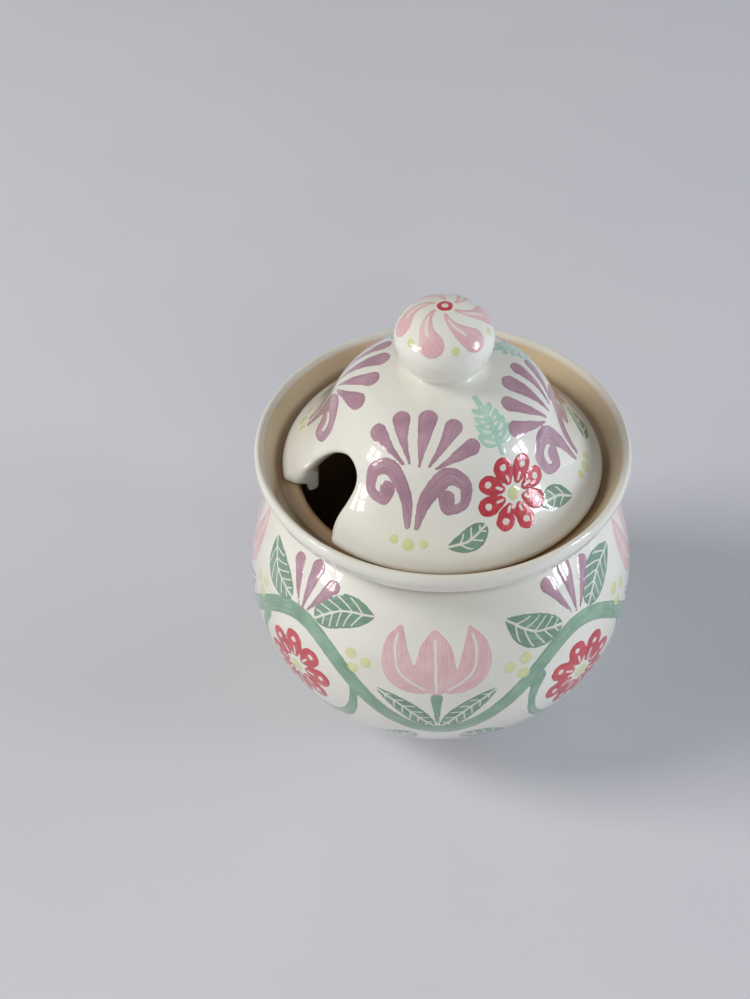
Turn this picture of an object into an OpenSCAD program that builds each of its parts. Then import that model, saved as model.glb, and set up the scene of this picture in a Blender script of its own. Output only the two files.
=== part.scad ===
// Glazed stoneware honey pot: a round-bellied pot with a flared rim, and a bell-shaped lid
// with a ball knob and a spoon notch that drops into a seat inside the rim.
// Millimetres, +Z up. The origin is the middle of the foot ring, on the table.
// The spoon notch faces -X.

/* [Pot] */
// Widest outer radius of the belly
belly_r = 54; // [50:0.5:60]
// Height of the widest point above the table
belly_z = 43; // [38:0.5:47]
// Height of the rim's crest above the table
pot_h = 89.8; // [84:0.2:100]
// Thickness of the pot's wall
wall = 4.5; // [3.5:0.1:5.5]
// Thickness of the floor over the recess under it
floor_t = 4; // [3:0.1:6]
// Squareness of the hollow where the wall turns into the floor, 2 is a plain ellipse
hollow_fullness = 2.35; // [2:0.05:2.6]

/* [Foot] */
// Outer radius of the foot ring
foot_r = 27; // [22:0.5:32]
// Height of the foot ring up to the belly
foot_h = 3; // [2:0.1:4.5]
// Width of the foot ring
foot_w = 4; // [3:0.1:6]
// Depth of the recess inside the foot ring
foot_recess = 2; // [1:0.1:2.8]
// How far the recess's wall leans in
recess_lean = 1; // [0.4:0.1:2]
// Rounding of the foot ring's edges
foot_round = 0.8; // [0.4:0.1:1.2]

/* [Rim] */
// Thickness of the flared rim at its crest
rim_t = 2; // [1.6:0.1:3]
// Height of the outer band of the rim, from the crest to its lower edge
band_h = 6.6; // [5:0.1:8]
// How far the band leans in towards its lower edge
band_lean = 1; // [0.4:0.1:1.6]
// Rounding of the band's lower edge
band_round = 1.2; // [0.6:0.1:1.8]
// How far the funnel inside the rim widens from the seat to the crest
funnel_flare = 3.4; // [2:0.1:4.4]
// Depth of the lid's seat under the crest
seat_depth = 7.2; // [6:0.1:9]
// Steepness of the rim's underside where it meets the band, in degrees
under_slope = 30; // [20:1:45]
// Height of the neck curve, from the shoulder to the crest
neck_h = 15.6; // [14:0.2:20]
// Extra thickness of the wall where the shoulder turns into the neck
neck_extra = 0.6; // [0:0.1:1.5]
// Rounding between the funnel and the lid's seat
seat_round = 2; // [0.5:0.1:2.4]
// Rounding of the mouth's edge under the lid's collar
mouth_round = 1.4; // [0.5:0.1:1.6]

/* [Lid] */
// Outer radius of the lid's brim
lid_r = 42.8; // [40:0.2:46]
// Thickness of the brim at its rounded edge
brim_t = 4; // [3:0.1:5]
// Thickness of the bell's wall
lid_wall = 4; // [3:0.1:5]
// Height of the bell's crown above the seat
bell_h = 32.8; // [28:0.2:38]
// Radius at which the bell turns from its round crown to its hollow flare
turn_r = 29.8; // [27:0.2:32]
// Height of that turn above the seat
turn_h = 18.2; // [16:0.1:21]
// Steepness of the bell at the turn, in degrees
turn_slope = 66; // [60:1:76]
// Steepness of the flare where it meets the brim, in degrees
brim_slope = 38; // [28:1:44]
// How far the crown runs out level before its shoulder
crown_pull = 19; // [16:0.5:22]
// How softly the shoulder and the flare ease into the turn
turn_pull = 9; // [6:0.2:10]

/* [Collar] */
// Outer radius of the locating collar under the brim
collar_r = 37; // [36:0.2:39]
// Thickness of the collar
collar_t = 3.4; // [2.8:0.1:4]
// Depth of the collar under the brim
collar_h = 3.2; // [2.8:0.1:7]
// Rounding of the collar's lower edges
collar_round = 1.4; // [0.5:0.1:1.5]
// Side play of the collar in the pot's mouth
collar_play = 1.5; // [0.5:0.1:2]
// Share of that play that the fillet at the collar's root takes
root_share = 0.8; // [0.3:0.05:0.9]
// Side play of the brim's edge inside the funnel
brim_play = 1.8; // [1:0.1:2.6]

/* [Notch] */
// Width of the spoon notch
notch_w = 17; // [12:0.5:20]
// Height of the notch's round top above the seat
notch_h = 17.6; // [14:0.2:22]
// Rounding of the brim's corners beside the notch
notch_corner = 5; // [2:0.2:6]

/* [Knob] */
// Widest radius of the knob
knob_r = 12.6; // [10:0.1:15]
// Height of the ball above its widest point
knob_over = 9.6; // [8:0.1:11]
// Depth of the ball under its widest point, measured as if it were whole
knob_under = 11; // [9:0.1:13]
// Height of the knob's top above the bell's crown
knob_rise = 18; // [16.8:0.1:22]
// Radius at which the knob's foot runs out on the crown
knob_foot_r = 11.8; // [10.5:0.1:13.6]
// Steepness of the foot where it runs out, in degrees
knob_foot_slope = 16; // [10:1:30]
// Angle under the ball's widest point at which the ball turns into the foot
knob_waist = 41; // [35:1:45]

/* [Hidden] */
$fn = 128;
eps = 0.01;

// Levels and radii of the pot
floor_z = foot_recess + floor_t;
seat_z = pot_h - seat_depth;
bore_r = collar_r + collar_play;
funnel_r = lid_r + brim_play;
crest_round = rim_t / 2;
crest_r = funnel_r + funnel_flare + crest_round;
crest_z = pot_h - crest_round;
band_z = pot_h - band_h + band_round;
band_r = crest_r + crest_round - band_lean - band_round;
band_tilt = atan2(band_lean, crest_z - band_z);
funnel_tilt = atan2(funnel_flare, seat_depth - crest_round - seat_round);

// The shoulder, where the belly ends and the neck curve begins
shoulder_r = bore_r + wall + neck_extra;
shoulder_z = pot_h - neck_h;
shoulder_t = acos(shoulder_r / belly_r);

// Half heights of the belly's ellipse, so that it meets the foot ring and the shoulder
belly_low = (belly_z - foot_h) / sqrt(1 - pow(foot_r / belly_r, 2));
belly_up = (shoulder_z - belly_z) / sin(shoulder_t);
hollow_r = belly_r - wall;
hollow_low = belly_z - floor_z;
hollow_up = belly_up - wall;

// Levels of the lid
crown_z = seat_z + bell_h;
turn_z = seat_z + turn_h;
brim_round = brim_t / 2;
collar_in = collar_r - collar_t;
collar_root = collar_play * root_share;
notch_r = notch_w / 2;
notch_z = seat_z + notch_h - notch_r;

// Level of the ball's widest point
knob_z = crown_z + knob_rise - knob_over;

// Points of a circle's arc about c, from angle a0 to a1
function arc(c, r, a0, a1, n = 8) =
    [for (i = [0 : n]) let (a = a0 + (a1 - a0) * i / n) c + r * [cos(a), sin(a)]];

// A signed power, for the curve below
function spow(x, p) = sign(x) * pow(abs(x), p);

// Points of an ellipse's arc about [0, z], squarer as the fullness grows past 2
function bow(z, rx, rz, a0, a1, fullness = 2, n = 24) =
    [for (i = [0 : n]) let (a = a0 + (a1 - a0) * i / n)
        [rx * spow(cos(a), 2 / fullness), z + rz * spow(sin(a), 2 / fullness)]];

// Points of a cubic curve from p to s, which leaves towards q and arrives from r
function blend(p, q, r, s, n = 10) =
    [for (i = [0 : n]) let (t = i / n, u = 1 - t)
        u * u * u * p + 3 * u * u * t * q + 3 * u * t * t * r + t * t * t * s];

// Unit vector at an angle
function heading(a) = [cos(a), sin(a)];

// A curve moved sideways by d, to the right of the way it runs
function inset(path, d) =
    [for (i = [0 : len(path) - 1])
        let (way = path[min(i + 1, len(path) - 1)] - path[max(i - 1, 0)])
        path[i] + d * [way[1], -way[0]] / norm(way)];

// Outer curve of the pot, from the middle of its underside up and over the crest
function pot_outside() =
    let (shoulder = [shoulder_r, shoulder_z],
         climb = [-belly_r * sin(shoulder_t), belly_up * cos(shoulder_t)],
         band_foot = [band_r, band_z] + band_round * heading(under_slope - 90),
         reach = (band_foot[1] - shoulder_z) / 2)
    concat(
        [[0, foot_recess]],
        [[foot_r - foot_w - recess_lean, foot_recess]],
        arc([foot_r - foot_w + foot_round, foot_round], foot_round, 180, 270, 4),
        arc([foot_r - foot_round, foot_round], foot_round, 270, 360, 4),
        bow(belly_z, belly_r, belly_low, -acos(foot_r / belly_r), 0),
        [for (p = bow(belly_z, belly_r, belly_up, 0, shoulder_t)) if (p[1] > belly_z + eps) p],
        [for (p = blend(shoulder, shoulder + reach * climb / norm(climb),
                        band_foot - reach * heading(under_slope), band_foot))
            if (p[1] > shoulder_z + eps && p[1] < band_foot[1] - eps) p],
        arc([band_r, band_z], band_round, under_slope - 90, -band_tilt, 5),
        arc([crest_r, crest_z], crest_round, -band_tilt, 180 - funnel_tilt, 12));

// Inner curve of the pot, from the foot of the funnel to the middle of the floor
function pot_inside() =
    let (mouth_t = acos(bore_r / hollow_r))
    concat(
        arc([funnel_r - seat_round, seat_z + seat_round], seat_round, -funnel_tilt, -90, 5),
        arc([bore_r + mouth_round, seat_z - mouth_round], mouth_round, 90, 180, 5),
        [for (p = bow(belly_z, hollow_r, hollow_up, mouth_t, 0)) if (p[1] < seat_z - mouth_round - eps) p],
        [for (p = bow(belly_z, hollow_r, hollow_low, 0, -90, hollow_fullness))
            if (p[1] < belly_z - eps) p]);

module pot() {
    color("#d9d5ca")
    rotate_extrude() polygon(concat(pot_outside(), pot_inside()));
}

// Outer curve of the bell, from the middle of its crown to the top of the brim
function bell_curve() =
    let (turn = [turn_r, turn_z],
         brim = [lid_r - brim_round, seat_z + brim_round] + brim_round * heading(90 - brim_slope),
         fall = turn_pull * heading(-turn_slope),
         rise = (brim[0] - turn_r) / 2 * heading(180 - brim_slope))
    concat(
        blend([0, crown_z], [crown_pull, crown_z], turn - fall, turn, 20),
        [for (p = blend(turn, turn + fall, brim + rise, brim, 14)) if (p[1] < turn_z - eps) p]);

// Level of the place on the crown that the knob stands on
knob_seat_z = lookup(knob_foot_r, bell_curve());

// Outer curve of the lid: a level seat for the knob, the bell, and the brim's round edge
function lid_outside() =
    concat(
        [[0, knob_seat_z], [knob_foot_r, knob_seat_z]],
        [for (p = bell_curve()) if (p[0] > knob_foot_r + eps && p[1] < knob_seat_z - eps) p],
        [for (p = arc([lid_r - brim_round, seat_z + brim_round], brim_round, 90 - brim_slope, -90, 10))
            if (p[0] > collar_r + collar_root + eps) p]);

// Inner curve of the lid, from the collar's root round the collar and up to the crown
function lid_inside() =
    let (foot = seat_z - collar_h + collar_round,
         hollow = inset(bell_curve(), lid_wall))
    concat(
        arc([collar_r + collar_root, seat_z - collar_root], collar_root, 90, 180, 4),
        arc([collar_r - collar_round, foot], collar_round, 0, -90, 4),
        arc([collar_in + collar_round, foot], collar_round, 270, 180, 4),
        [[collar_in, lookup(collar_in, hollow)]],
        [for (i = [len(hollow) - 1 : -1 : 1]) if (hollow[i][0] < collar_in - eps) hollow[i]],
        [[0, crown_z - lid_wall]]);

// Room that the spoon needs: a round-topped way through the bell, open down through the
// collar, whose corners at the brim are rounded in plan
module spoon_notch() {
    reach = lid_r + eps;
    start = turn_r - notch_r - lid_wall;
    corner = [-sqrt(pow(lid_r - notch_corner, 2) - pow(notch_r + notch_corner, 2)),
              notch_r + notch_corner];
    translate([-reach, 0, notch_z]) rotate([0, 90, 0]) cylinder(r = notch_r, h = reach - start);
    translate([-reach, -notch_r, seat_z - collar_h - eps])
        cube([reach - start, notch_w, notch_z - seat_z + collar_h + eps]);
    for (side = [0, 1]) mirror([0, side, 0])
        translate([0, 0, seat_z - collar_h - eps])
        linear_extrude(notch_z - seat_z + collar_h)
        difference() {
            polygon([[corner[0], notch_r - eps], corner, corner * (reach + notch_corner) / norm(corner),
                     [-reach - notch_corner, notch_r - eps]]);
            translate(corner) circle(notch_corner);
        }
}

module lid() {
    color("#dedacf")
    difference() {
        rotate_extrude() polygon(concat(lid_outside(), lid_inside()));
        spoon_notch();
    }
}

module knob() {
    ball_end = [knob_r * cos(knob_waist), knob_z - knob_under * sin(knob_waist)];
    fall = [-knob_r * sin(knob_waist), -knob_under * cos(knob_waist)];
    foot = [knob_foot_r, knob_seat_z];
    ease = (ball_end[1] - knob_seat_z) / 2;
    color("#e2ddd3")
    rotate_extrude() polygon(concat(
        [[0, knob_seat_z]],
        blend(foot, foot + ease * heading(180 - knob_foot_slope), ball_end + ease * fall / norm(fall), ball_end),
        [for (p = bow(knob_z, knob_r, knob_under, -knob_waist, 0, 2, 12)) if (p[1] > ball_end[1] + eps) p],
        [for (p = bow(knob_z, knob_r, knob_over, 0, 90)) if (p[1] > knob_z + eps) p]));
}

pot();
lid();
knob();
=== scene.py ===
"""Looks of a glazed stoneware honey pot: a round-bellied pot, a bell lid with a spoon notch, a ball knob.

The pieces are turned from the same profiles as the solids, painted with brush strokes that are kept
as attributes of each mesh, and covered with one glossy cream glaze.
"""

import logging
import math
from dataclasses import dataclass, field
from enum import Enum
from functools import cached_property

import bmesh
import bpy
import numpy as np
from mathutils import Matrix, Vector
from mathutils.kdtree import KDTree


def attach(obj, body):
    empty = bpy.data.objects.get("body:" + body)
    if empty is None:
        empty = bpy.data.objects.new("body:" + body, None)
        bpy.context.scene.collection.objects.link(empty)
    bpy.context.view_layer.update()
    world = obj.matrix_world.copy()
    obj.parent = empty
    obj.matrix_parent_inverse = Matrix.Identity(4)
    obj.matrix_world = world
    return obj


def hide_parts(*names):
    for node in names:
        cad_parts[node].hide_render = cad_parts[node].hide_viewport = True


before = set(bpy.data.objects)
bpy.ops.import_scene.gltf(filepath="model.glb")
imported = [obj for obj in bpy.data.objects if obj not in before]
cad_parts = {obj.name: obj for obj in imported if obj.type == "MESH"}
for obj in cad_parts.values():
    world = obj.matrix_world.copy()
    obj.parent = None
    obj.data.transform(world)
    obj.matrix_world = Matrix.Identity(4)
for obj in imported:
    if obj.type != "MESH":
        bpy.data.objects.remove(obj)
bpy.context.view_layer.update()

logging.basicConfig(level=logging.INFO, format="%(name)s: %(message)s")
log = logging.getLogger("honey_pot")

Colour = tuple[float, float, float, float]
Triple = tuple[float, float, float]
Socket = bpy.types.NodeSocket

MM = 0.001
FULL_TURN = 2 * math.pi
TINY = 1e-6
FAR = 16.0
UNPAINTED = -4.0
CHART_STEP = 0.25
PAINT_RELIEF = 0.07


def srgb(red: int, green: int, blue: int) -> Colour:
    """A colour given as 0 to 255 on a screen, as the linear values that shaders use.

    Args:
        red, green, blue: the screen values.

    Returns:
        Linear red, green and blue, and an alpha of 1.
    """
    shares = [value / 255 for value in (red, green, blue)]
    linear = [s / 12.92 if s <= 0.04045 else ((s + 0.055) / 1.055) ** 2.4 for s in shares]
    return (*linear, 1.0)


class Curve:
    """Plane curves in millimetres, as arrays of points."""

    BOW_POINTS = 90
    THROUGH_POINTS = 24

    @staticmethod
    def heading(angle: float) -> np.ndarray:
        """Unit vector at an angle in degrees."""
        return np.array((math.cos(math.radians(angle)), math.sin(math.radians(angle))))

    @staticmethod
    def arc(
        centre: tuple[float, float], radius: float, start: float, end: float, count: int = 12
    ) -> np.ndarray:
        """Points of a circle's arc.

        Args:
            centre: middle of the circle.
            radius: its radius.
            start, end: angles in degrees.
            count: number of points.

        Returns:
            The points, from start to end.
        """
        angles = np.radians(np.linspace(start, end, count))
        return np.array(centre) + radius * np.column_stack((np.cos(angles), np.sin(angles)))

    @staticmethod
    def bow(
        level: float, across: float, rise: float, start: float, end: float, fullness: float = 2.0
    ) -> np.ndarray:
        """Points of an ellipse's arc about the axis, squarer as the fullness grows past 2.

        Args:
            level: height of the ellipse's middle.
            across, rise: half axes.
            start, end: angles in degrees.
            fullness: 2 for a plain ellipse.

        Returns:
            The points, from start to end.
        """
        angles = np.radians(np.linspace(start, end, Curve.BOW_POINTS))
        ways = np.cos(angles), np.sin(angles)
        flat, tall = (np.sign(way) * np.abs(way) ** (2 / fullness) for way in ways)
        return np.column_stack((across * flat, level + rise * tall))

    @staticmethod
    def blend(p: np.ndarray, q: np.ndarray, r: np.ndarray, s: np.ndarray, count: int = 60) -> np.ndarray:
        """Points of a cubic curve.

        Args:
            p, s: its ends.
            q, r: the points that it leaves towards and arrives from.
            count: number of points.

        Returns:
            The points, from p to s.
        """
        t = np.linspace(0, 1, count)[:, None]
        u = 1 - t
        return u**3 * p + 3 * u * u * t * q + 3 * u * t * t * r + t**3 * s

    @staticmethod
    def lengths(path: np.ndarray) -> np.ndarray:
        """Distance along a path to each of its points."""
        return np.concatenate(((0.0,), np.cumsum(np.linalg.norm(np.diff(path, axis=0), axis=1))))

    @staticmethod
    def even(path: np.ndarray, step: float) -> np.ndarray:
        """A path with its points set at even distances.

        Args:
            path: the points.
            step: distance between the new points, about.

        Returns:
            The new points, with the same ends.
        """
        along = Curve.lengths(path)
        wanted = np.linspace(0, along[-1], max(2, int(round(along[-1] / step)) + 1))
        return np.column_stack([np.interp(wanted, along, row) for row in path.T])

    @staticmethod
    def through(points: np.ndarray, step: float) -> np.ndarray:
        """A smooth curve through a few points.

        Args:
            points: two or more points.
            step: distance between the points of the curve.

        Returns:
            The curve's points at even distances.
        """
        if len(points) < 3:
            return Curve.even(points, step)
        guides = np.vstack((2 * points[0] - points[1], points, 2 * points[-1] - points[-2]))
        pieces = [
            Curve.blend(b, b + (c - a) / 6, c - (d - b) / 6, c, Curve.THROUGH_POINTS)
            for a, b, c, d in zip(guides, guides[1:], guides[2:], guides[3:])
        ]
        return Curve.even(np.vstack(pieces), step)


class Paint(Enum):
    """The paints under the glaze, in the order in which they are laid."""

    VINE = "vine"
    FROND = "frond"
    LEAF = "leaf"
    SCROLL = "scroll"
    BLOOM = "bloom"
    BERRY = "berry"
    SPARK = "spark"


class Tip(Enum):
    """How a brush stroke swells and thins along its length."""

    EVEN = "even"
    COMMA = "comma"
    LEAF = "leaf"
    PETAL = "petal"
    SCROLL = "scroll"

    def swell(self, share: np.ndarray) -> np.ndarray:
        """Share of the full width at each share of the length.

        Args:
            share: 0 at the stroke's start, 1 at its end.

        Returns:
            Shares of the half width.
        """
        if self is Tip.COMMA:
            return 0.16 + 0.84 * share**1.25
        if self is Tip.LEAF:
            return 0.06 + 0.94 * np.sin(math.pi * share**0.8) ** 0.9
        if self is Tip.PETAL:
            return 0.40 + 0.60 * np.sin(share * math.pi / 2)
        if self is Tip.SCROLL:
            rising = 0.30 + 0.70 * np.sin(np.clip(share / 0.5, 0, 1) * math.pi / 2)
            curling = 1 - 0.45 * np.sin(np.clip((share - 0.5) / 0.38, 0, 1) * math.pi / 2)
            bulb = 0.35 * np.clip((share - 0.88) / 0.12, 0, 1)
            return rising * curling + bulb
        return np.ones_like(share)


@dataclass(frozen=True)
class Stroke:
    """One stroke of the brush, drawn flat, in millimetres."""

    paint: Paint
    points: tuple[tuple[float, float], ...]
    half_width: float
    tip: Tip = Tip.EVEN

    def mirrored(self) -> "Stroke":
        """The same stroke on the other side of the motif's middle line."""
        return Stroke(self.paint, tuple((-x, y) for x, y in self.points), self.half_width, self.tip)

    def scaled(self, size: float) -> "Stroke":
        """The same stroke at another size."""
        points = tuple((size * x, size * y) for x, y in self.points)
        return Stroke(self.paint, points, size * self.half_width, self.tip)


@dataclass(frozen=True)
class Spot:
    """Where a motif goes on a painted face: degrees round it, millimetres along it, a turn and a scale."""

    angle: float
    arc: float
    turn: float = 0.0
    scale: float = 1.0


@dataclass
class Chart:
    """The painted face of a turned piece, measured round it and along its profile."""

    path: np.ndarray
    up: int
    arcs: np.ndarray = field(init=False)

    def __post_init__(self) -> None:
        """Measures the profile."""
        self.arcs = Curve.lengths(self.path)

    def radius(self, arc: np.ndarray) -> np.ndarray:
        """Distance from the axis at a length along the profile."""
        return np.interp(arc, self.arcs, self.path[:, 0])

    def space(self, angles: np.ndarray, arcs: np.ndarray) -> np.ndarray:
        """Points of the face in space.

        Args:
            angles: radians round the axis.
            arcs: millimetres along the profile.

        Returns:
            Points in millimetres.
        """
        radius, height = self.radius(arcs), np.interp(arcs, self.arcs, self.path[:, 1])
        return np.column_stack((radius * np.cos(angles), radius * np.sin(angles), height))

    def normals(self, angles: np.ndarray, arcs: np.ndarray) -> np.ndarray:
        """Outward directions of the face at points given as in space().

        Args:
            angles: radians round the axis.
            arcs: millimetres along the profile.

        Returns:
            Unit vectors.
        """
        run = np.gradient(self.path, self.arcs, axis=0)
        fall, out = (self.up * np.interp(arcs, self.arcs, way) for way in run.T)
        ways = np.column_stack((out * np.cos(angles), out * np.sin(angles), -fall))
        return ways / np.linalg.norm(ways, axis=1)[:, None]

    def placed(self, points: np.ndarray, spot: Spot) -> tuple[np.ndarray, np.ndarray]:
        """Lays flat points on the face.

        Args:
            points: x to the right and y upwards from the motif's middle.
            spot: where the middle goes.

        Returns:
            Radians round the axis and millimetres along the profile of each point.
        """
        turn = math.radians(spot.turn)
        x = spot.scale * (points[:, 0] * math.cos(turn) - points[:, 1] * math.sin(turn))
        y = spot.scale * (points[:, 0] * math.sin(turn) + points[:, 1] * math.cos(turn))
        arcs = spot.arc + self.up * y
        return math.radians(spot.angle) + x / np.maximum(self.radius(arcs), 1.0), arcs


class Painter:
    """Lays brush strokes on a mesh, as attributes that its glaze reads.

    For each paint a point of the mesh keeps its distance from the stroke's tip, its distance from the
    stroke's middle line, and how deep it lies inside the stroke's edge, all in millimetres.
    """

    STEP = 0.3
    DOT = 0.02
    MARGIN = 2.5
    BLOCK = 24
    SAME_SIDE = 0.2
    SLOPE = 0.8
    UNEVEN_PLACE = 0.35
    UNEVEN_TURN = 2.0
    UNEVEN_SCALE = 0.025
    UNEVEN_WIDTH = 0.05

    def __init__(self, mesh: bpy.types.Mesh, chart: Chart, seed: int) -> None:
        """Reads the mesh.

        Args:
            mesh: the mesh to paint.
            chart: its painted face.
            seed: start of the small unevenness of the hand.
        """
        self.mesh, self.chart = mesh, chart
        self.points = Mesher.read(mesh.vertices, "co", 3) / MM
        self.facing = Mesher.read(mesh.vertex_normals, "vector", 3)
        self.hand = np.random.default_rng(seed)
        bare = np.array((0, 0, UNPAINTED), np.float32)
        self.layers = {paint: np.tile(bare, (len(self.points), 1)) for paint in Paint}

    def motif(self, strokes: list[Stroke], spot: Spot) -> None:
        """Paints a motif, a little unevenly, as a hand does.

        Args:
            strokes: the motif's strokes.
            spot: where its middle goes.
        """
        shift = self.hand.normal(0, self.UNEVEN_PLACE, 2)
        uneven = Spot(
            spot.angle + math.degrees(shift[0] / max(float(self.chart.radius(spot.arc)), 1.0)),
            spot.arc + shift[1],
            spot.turn + self.hand.normal(0, self.UNEVEN_TURN),
            spot.scale * (1 + self.hand.normal(0, self.UNEVEN_SCALE)),
        )
        for stroke in strokes:
            points = np.array(stroke.points, float)
            if len(points) == 1:
                points = np.vstack((points, points + self.DOT))
            angles, arcs = self.chart.placed(Curve.through(points, self.STEP), uneven)
            self.lay(stroke.paint, angles, arcs, stroke.half_width * uneven.scale, stroke.tip)

    def lay(self, paint: Paint, angles: np.ndarray, arcs: np.ndarray, half_width: float, tip: Tip) -> None:
        """Lays one stroke along a path on the face.

        Args:
            paint: the stroke's paint.
            angles, arcs: the path, as Chart.space takes it.
            half_width: half of the stroke's full width.
            tip: how the stroke swells along its length.
        """
        path, out = self.chart.space(angles, arcs), self.chart.normals(angles, arcs)
        along = Curve.lengths(path)
        share = along / along[-1]
        quiver = np.sin(share * self.hand.uniform(5, 9) + self.hand.uniform(0, FULL_TURN))
        widths = half_width * tip.swell(share) * (1 + self.UNEVEN_WIDTH * quiver)
        ways = np.gradient(path, axis=0)
        ways /= np.linalg.norm(ways, axis=1)[:, None]
        layer = self.layers[paint]
        for first in range(0, len(path), self.BLOCK):
            part = slice(first, first + self.BLOCK)
            middle = path[part].mean(axis=0)
            reach = np.linalg.norm(path[part] - middle, axis=1).max() + half_width + self.MARGIN
            near = np.nonzero(((self.points - middle) ** 2).sum(axis=1) < reach**2)[0]
            gaps = self.points[near][:, None, :] - path[None, part, :].astype(np.float32)
            depth = widths[None, part] - np.sqrt((gaps**2).sum(axis=2))
            best = depth.argmax(axis=1)
            rows = np.arange(len(near))
            depth, gap, best = depth[rows, best], gaps[rows, best], best + first
            same_side = (self.facing[near] * out[best]).sum(axis=1) > self.SAME_SIDE
            taken = same_side & (depth > layer[near, 2])
            sides = np.cross(out[best], ways[best])
            to_tip = along[-1] - along[best] - (gap * ways[best]).sum(axis=1)
            layer[near[taken]] = np.column_stack((to_tip, (gap * sides).sum(axis=1), depth))[taken]

    def finish(self, relief: float) -> None:
        """Raises the painted places a little, as thick paint does, and writes the paints to the mesh.

        Args:
            relief: how far they are raised, in millimetres.
        """
        deepest = np.max([layer[:, 2] for layer in self.layers.values()], axis=0)
        share = np.clip(deepest / self.SLOPE, 0, 1)
        moved = (self.points + self.facing * (relief * share * share * (3 - 2 * share))[:, None]) * MM
        self.mesh.vertices.foreach_set("co", moved.astype(np.float32).ravel())
        self.mesh.update()
        for paint, layer in self.layers.items():
            attribute = self.mesh.attributes.new(paint.value, "FLOAT_VECTOR", "POINT")
            attribute.data.foreach_set("vector", layer.astype(np.float32).ravel())


class Motifs:
    """Common ornaments of painted pottery, drawn flat about their middle, in millimetres."""

    @staticmethod
    def both(*strokes: Stroke) -> list[Stroke]:
        """Strokes and their mirror images."""
        return [*strokes, *(stroke.mirrored() for stroke in strokes)]

    @staticmethod
    def rosette(radius: float, petals: int = 8) -> list[Stroke]:
        """A round flower of red petals about a yellow middle.

        Args:
            radius: of the whole flower.
            petals: their number.

        Returns:
            Its strokes.
        """
        strokes = [Stroke(Paint.SPARK, ((0, 0),), 0.17 * radius)]
        for i in range(petals):
            way = Curve.heading(360 / petals * i + 90)
            petal = tuple(0.36 * radius * way), tuple(0.76 * radius * way)
            strokes.append(Stroke(Paint.BERRY, petal, 0.255 * radius, Tip.PETAL))
        return strokes

    @staticmethod
    def tulip(stem: float) -> list[Stroke]:
        """A pink tulip on a stem with two leaves.

        Args:
            stem: length of the stem.

        Returns:
            Its strokes.
        """
        return Motifs.both(
            Stroke(Paint.BLOOM, ((1.6, -3.6), (5.4, -0.4), (6.0, 4.0), (5.0, 7.6)), 2.5, Tip.LEAF),
            Stroke(Paint.LEAF, ((0.6, -4.8 - stem), (5.0, -7.6), (9.4, -4.2)), 1.75, Tip.LEAF),
        ) + [
            Stroke(Paint.BLOOM, ((0, -3.8), (0, 7.0)), 3.1, Tip.LEAF),
            Stroke(Paint.VINE, ((0, -5.4 - stem), (0, -5.1)), 0.95, Tip.COMMA),
        ]

    @staticmethod
    def leaf(length: float, half_width: float, bend: float) -> list[Stroke]:
        """A sage leaf that grows to the right from its stalk, its middle bent aside."""
        return [Stroke(Paint.LEAF, ((0, 0), (length / 2, bend), (length, 0)), half_width, Tip.LEAF)]

    @staticmethod
    def frond(length: float, pairs: int = 5) -> list[Stroke]:
        """A mint fern frond that grows upwards.

        Args:
            length: from foot to tip.
            pairs: number of pairs of leaflets.

        Returns:
            Its strokes.
        """
        strokes = [Stroke(Paint.FROND, ((0, 0), (0, length)), 0.75)]
        for i in range(pairs):
            share = i / pairs
            foot, reach = length * (0.16 + 0.72 * share), length * (0.30 - 0.17 * share)
            leaflet = (0.4, foot), (0.62 * reach, foot + 0.26 * reach), (reach, foot + 0.78 * reach)
            half_width = 0.085 * length * (1 - 0.45 * share)
            strokes += Motifs.both(Stroke(Paint.FROND, leaflet, half_width, Tip.LEAF))
        return strokes

    @staticmethod
    def palmette(size: float) -> list[Stroke]:
        """A mauve fan of strokes over a pair of scrolls.

        Args:
            size: scale of the whole.

        Returns:
            Its strokes.
        """
        scroll = (0.9, -11.5), (2.0, -5.8), (5.4, -1.0), (9.1, -2.6), (9.4, -6.6), (6.5, -7.5), (5.9, -5.2)
        strokes = Motifs.both(
            Stroke(Paint.SCROLL, scroll, 1.75, Tip.SCROLL),
            Stroke(Paint.SCROLL, ((1.9, 0.9), (4.0, 5.2), (5.2, 8.6)), 1.7, Tip.COMMA),
            Stroke(Paint.SCROLL, ((3.2, 0.6), (7.0, 3.0), (9.6, 4.4)), 1.7, Tip.COMMA),
        ) + [Stroke(Paint.SCROLL, ((0, 0.8), (0, 10.2)), 2.0, Tip.COMMA)]
        return [stroke.scaled(size) for stroke in strokes]

    @staticmethod
    def fan(size: float) -> list[Stroke]:
        """Three mauve commas side by side.

        Args:
            size: scale of the whole.

        Returns:
            Its strokes.
        """
        strokes = Motifs.both(Stroke(Paint.SCROLL, ((1.2, -4.6), (3.4, 0), (5.0, 3.4)), 1.5, Tip.COMMA))
        strokes.append(Stroke(Paint.SCROLL, ((0, -5.0), (0, 5.0)), 1.7, Tip.COMMA))
        return [stroke.scaled(size) for stroke in strokes]

    @staticmethod
    def dots(spread: float, size: float) -> list[Stroke]:
        """Yellow dots, four about a smaller one."""
        ring = (spread, 0.0), (0.0, spread), (-spread, 0.0), (0.0, -spread)
        return [Stroke(Paint.SPARK, (p,), size) for p in ring] + [Stroke(Paint.SPARK, ((0, 0),), 0.7 * size)]

    @staticmethod
    def berries(spread: float, size: float) -> list[Stroke]:
        """Three yellow dots, two over one."""
        return [Stroke(Paint.SPARK, (tuple(spread * Curve.heading(a)),), size) for a in (30, 150, 270)]

    @staticmethod
    def garland(step: float, size: float) -> list[Stroke]:
        """Three yellow dots in a hanging row."""
        places = [(i, abs(i)) for i in (-1, 0, 1)]
        return [Stroke(Paint.SPARK, ((step * i, 0.6 * off),), size * (1 - 0.2 * off)) for i, off in places]

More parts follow.
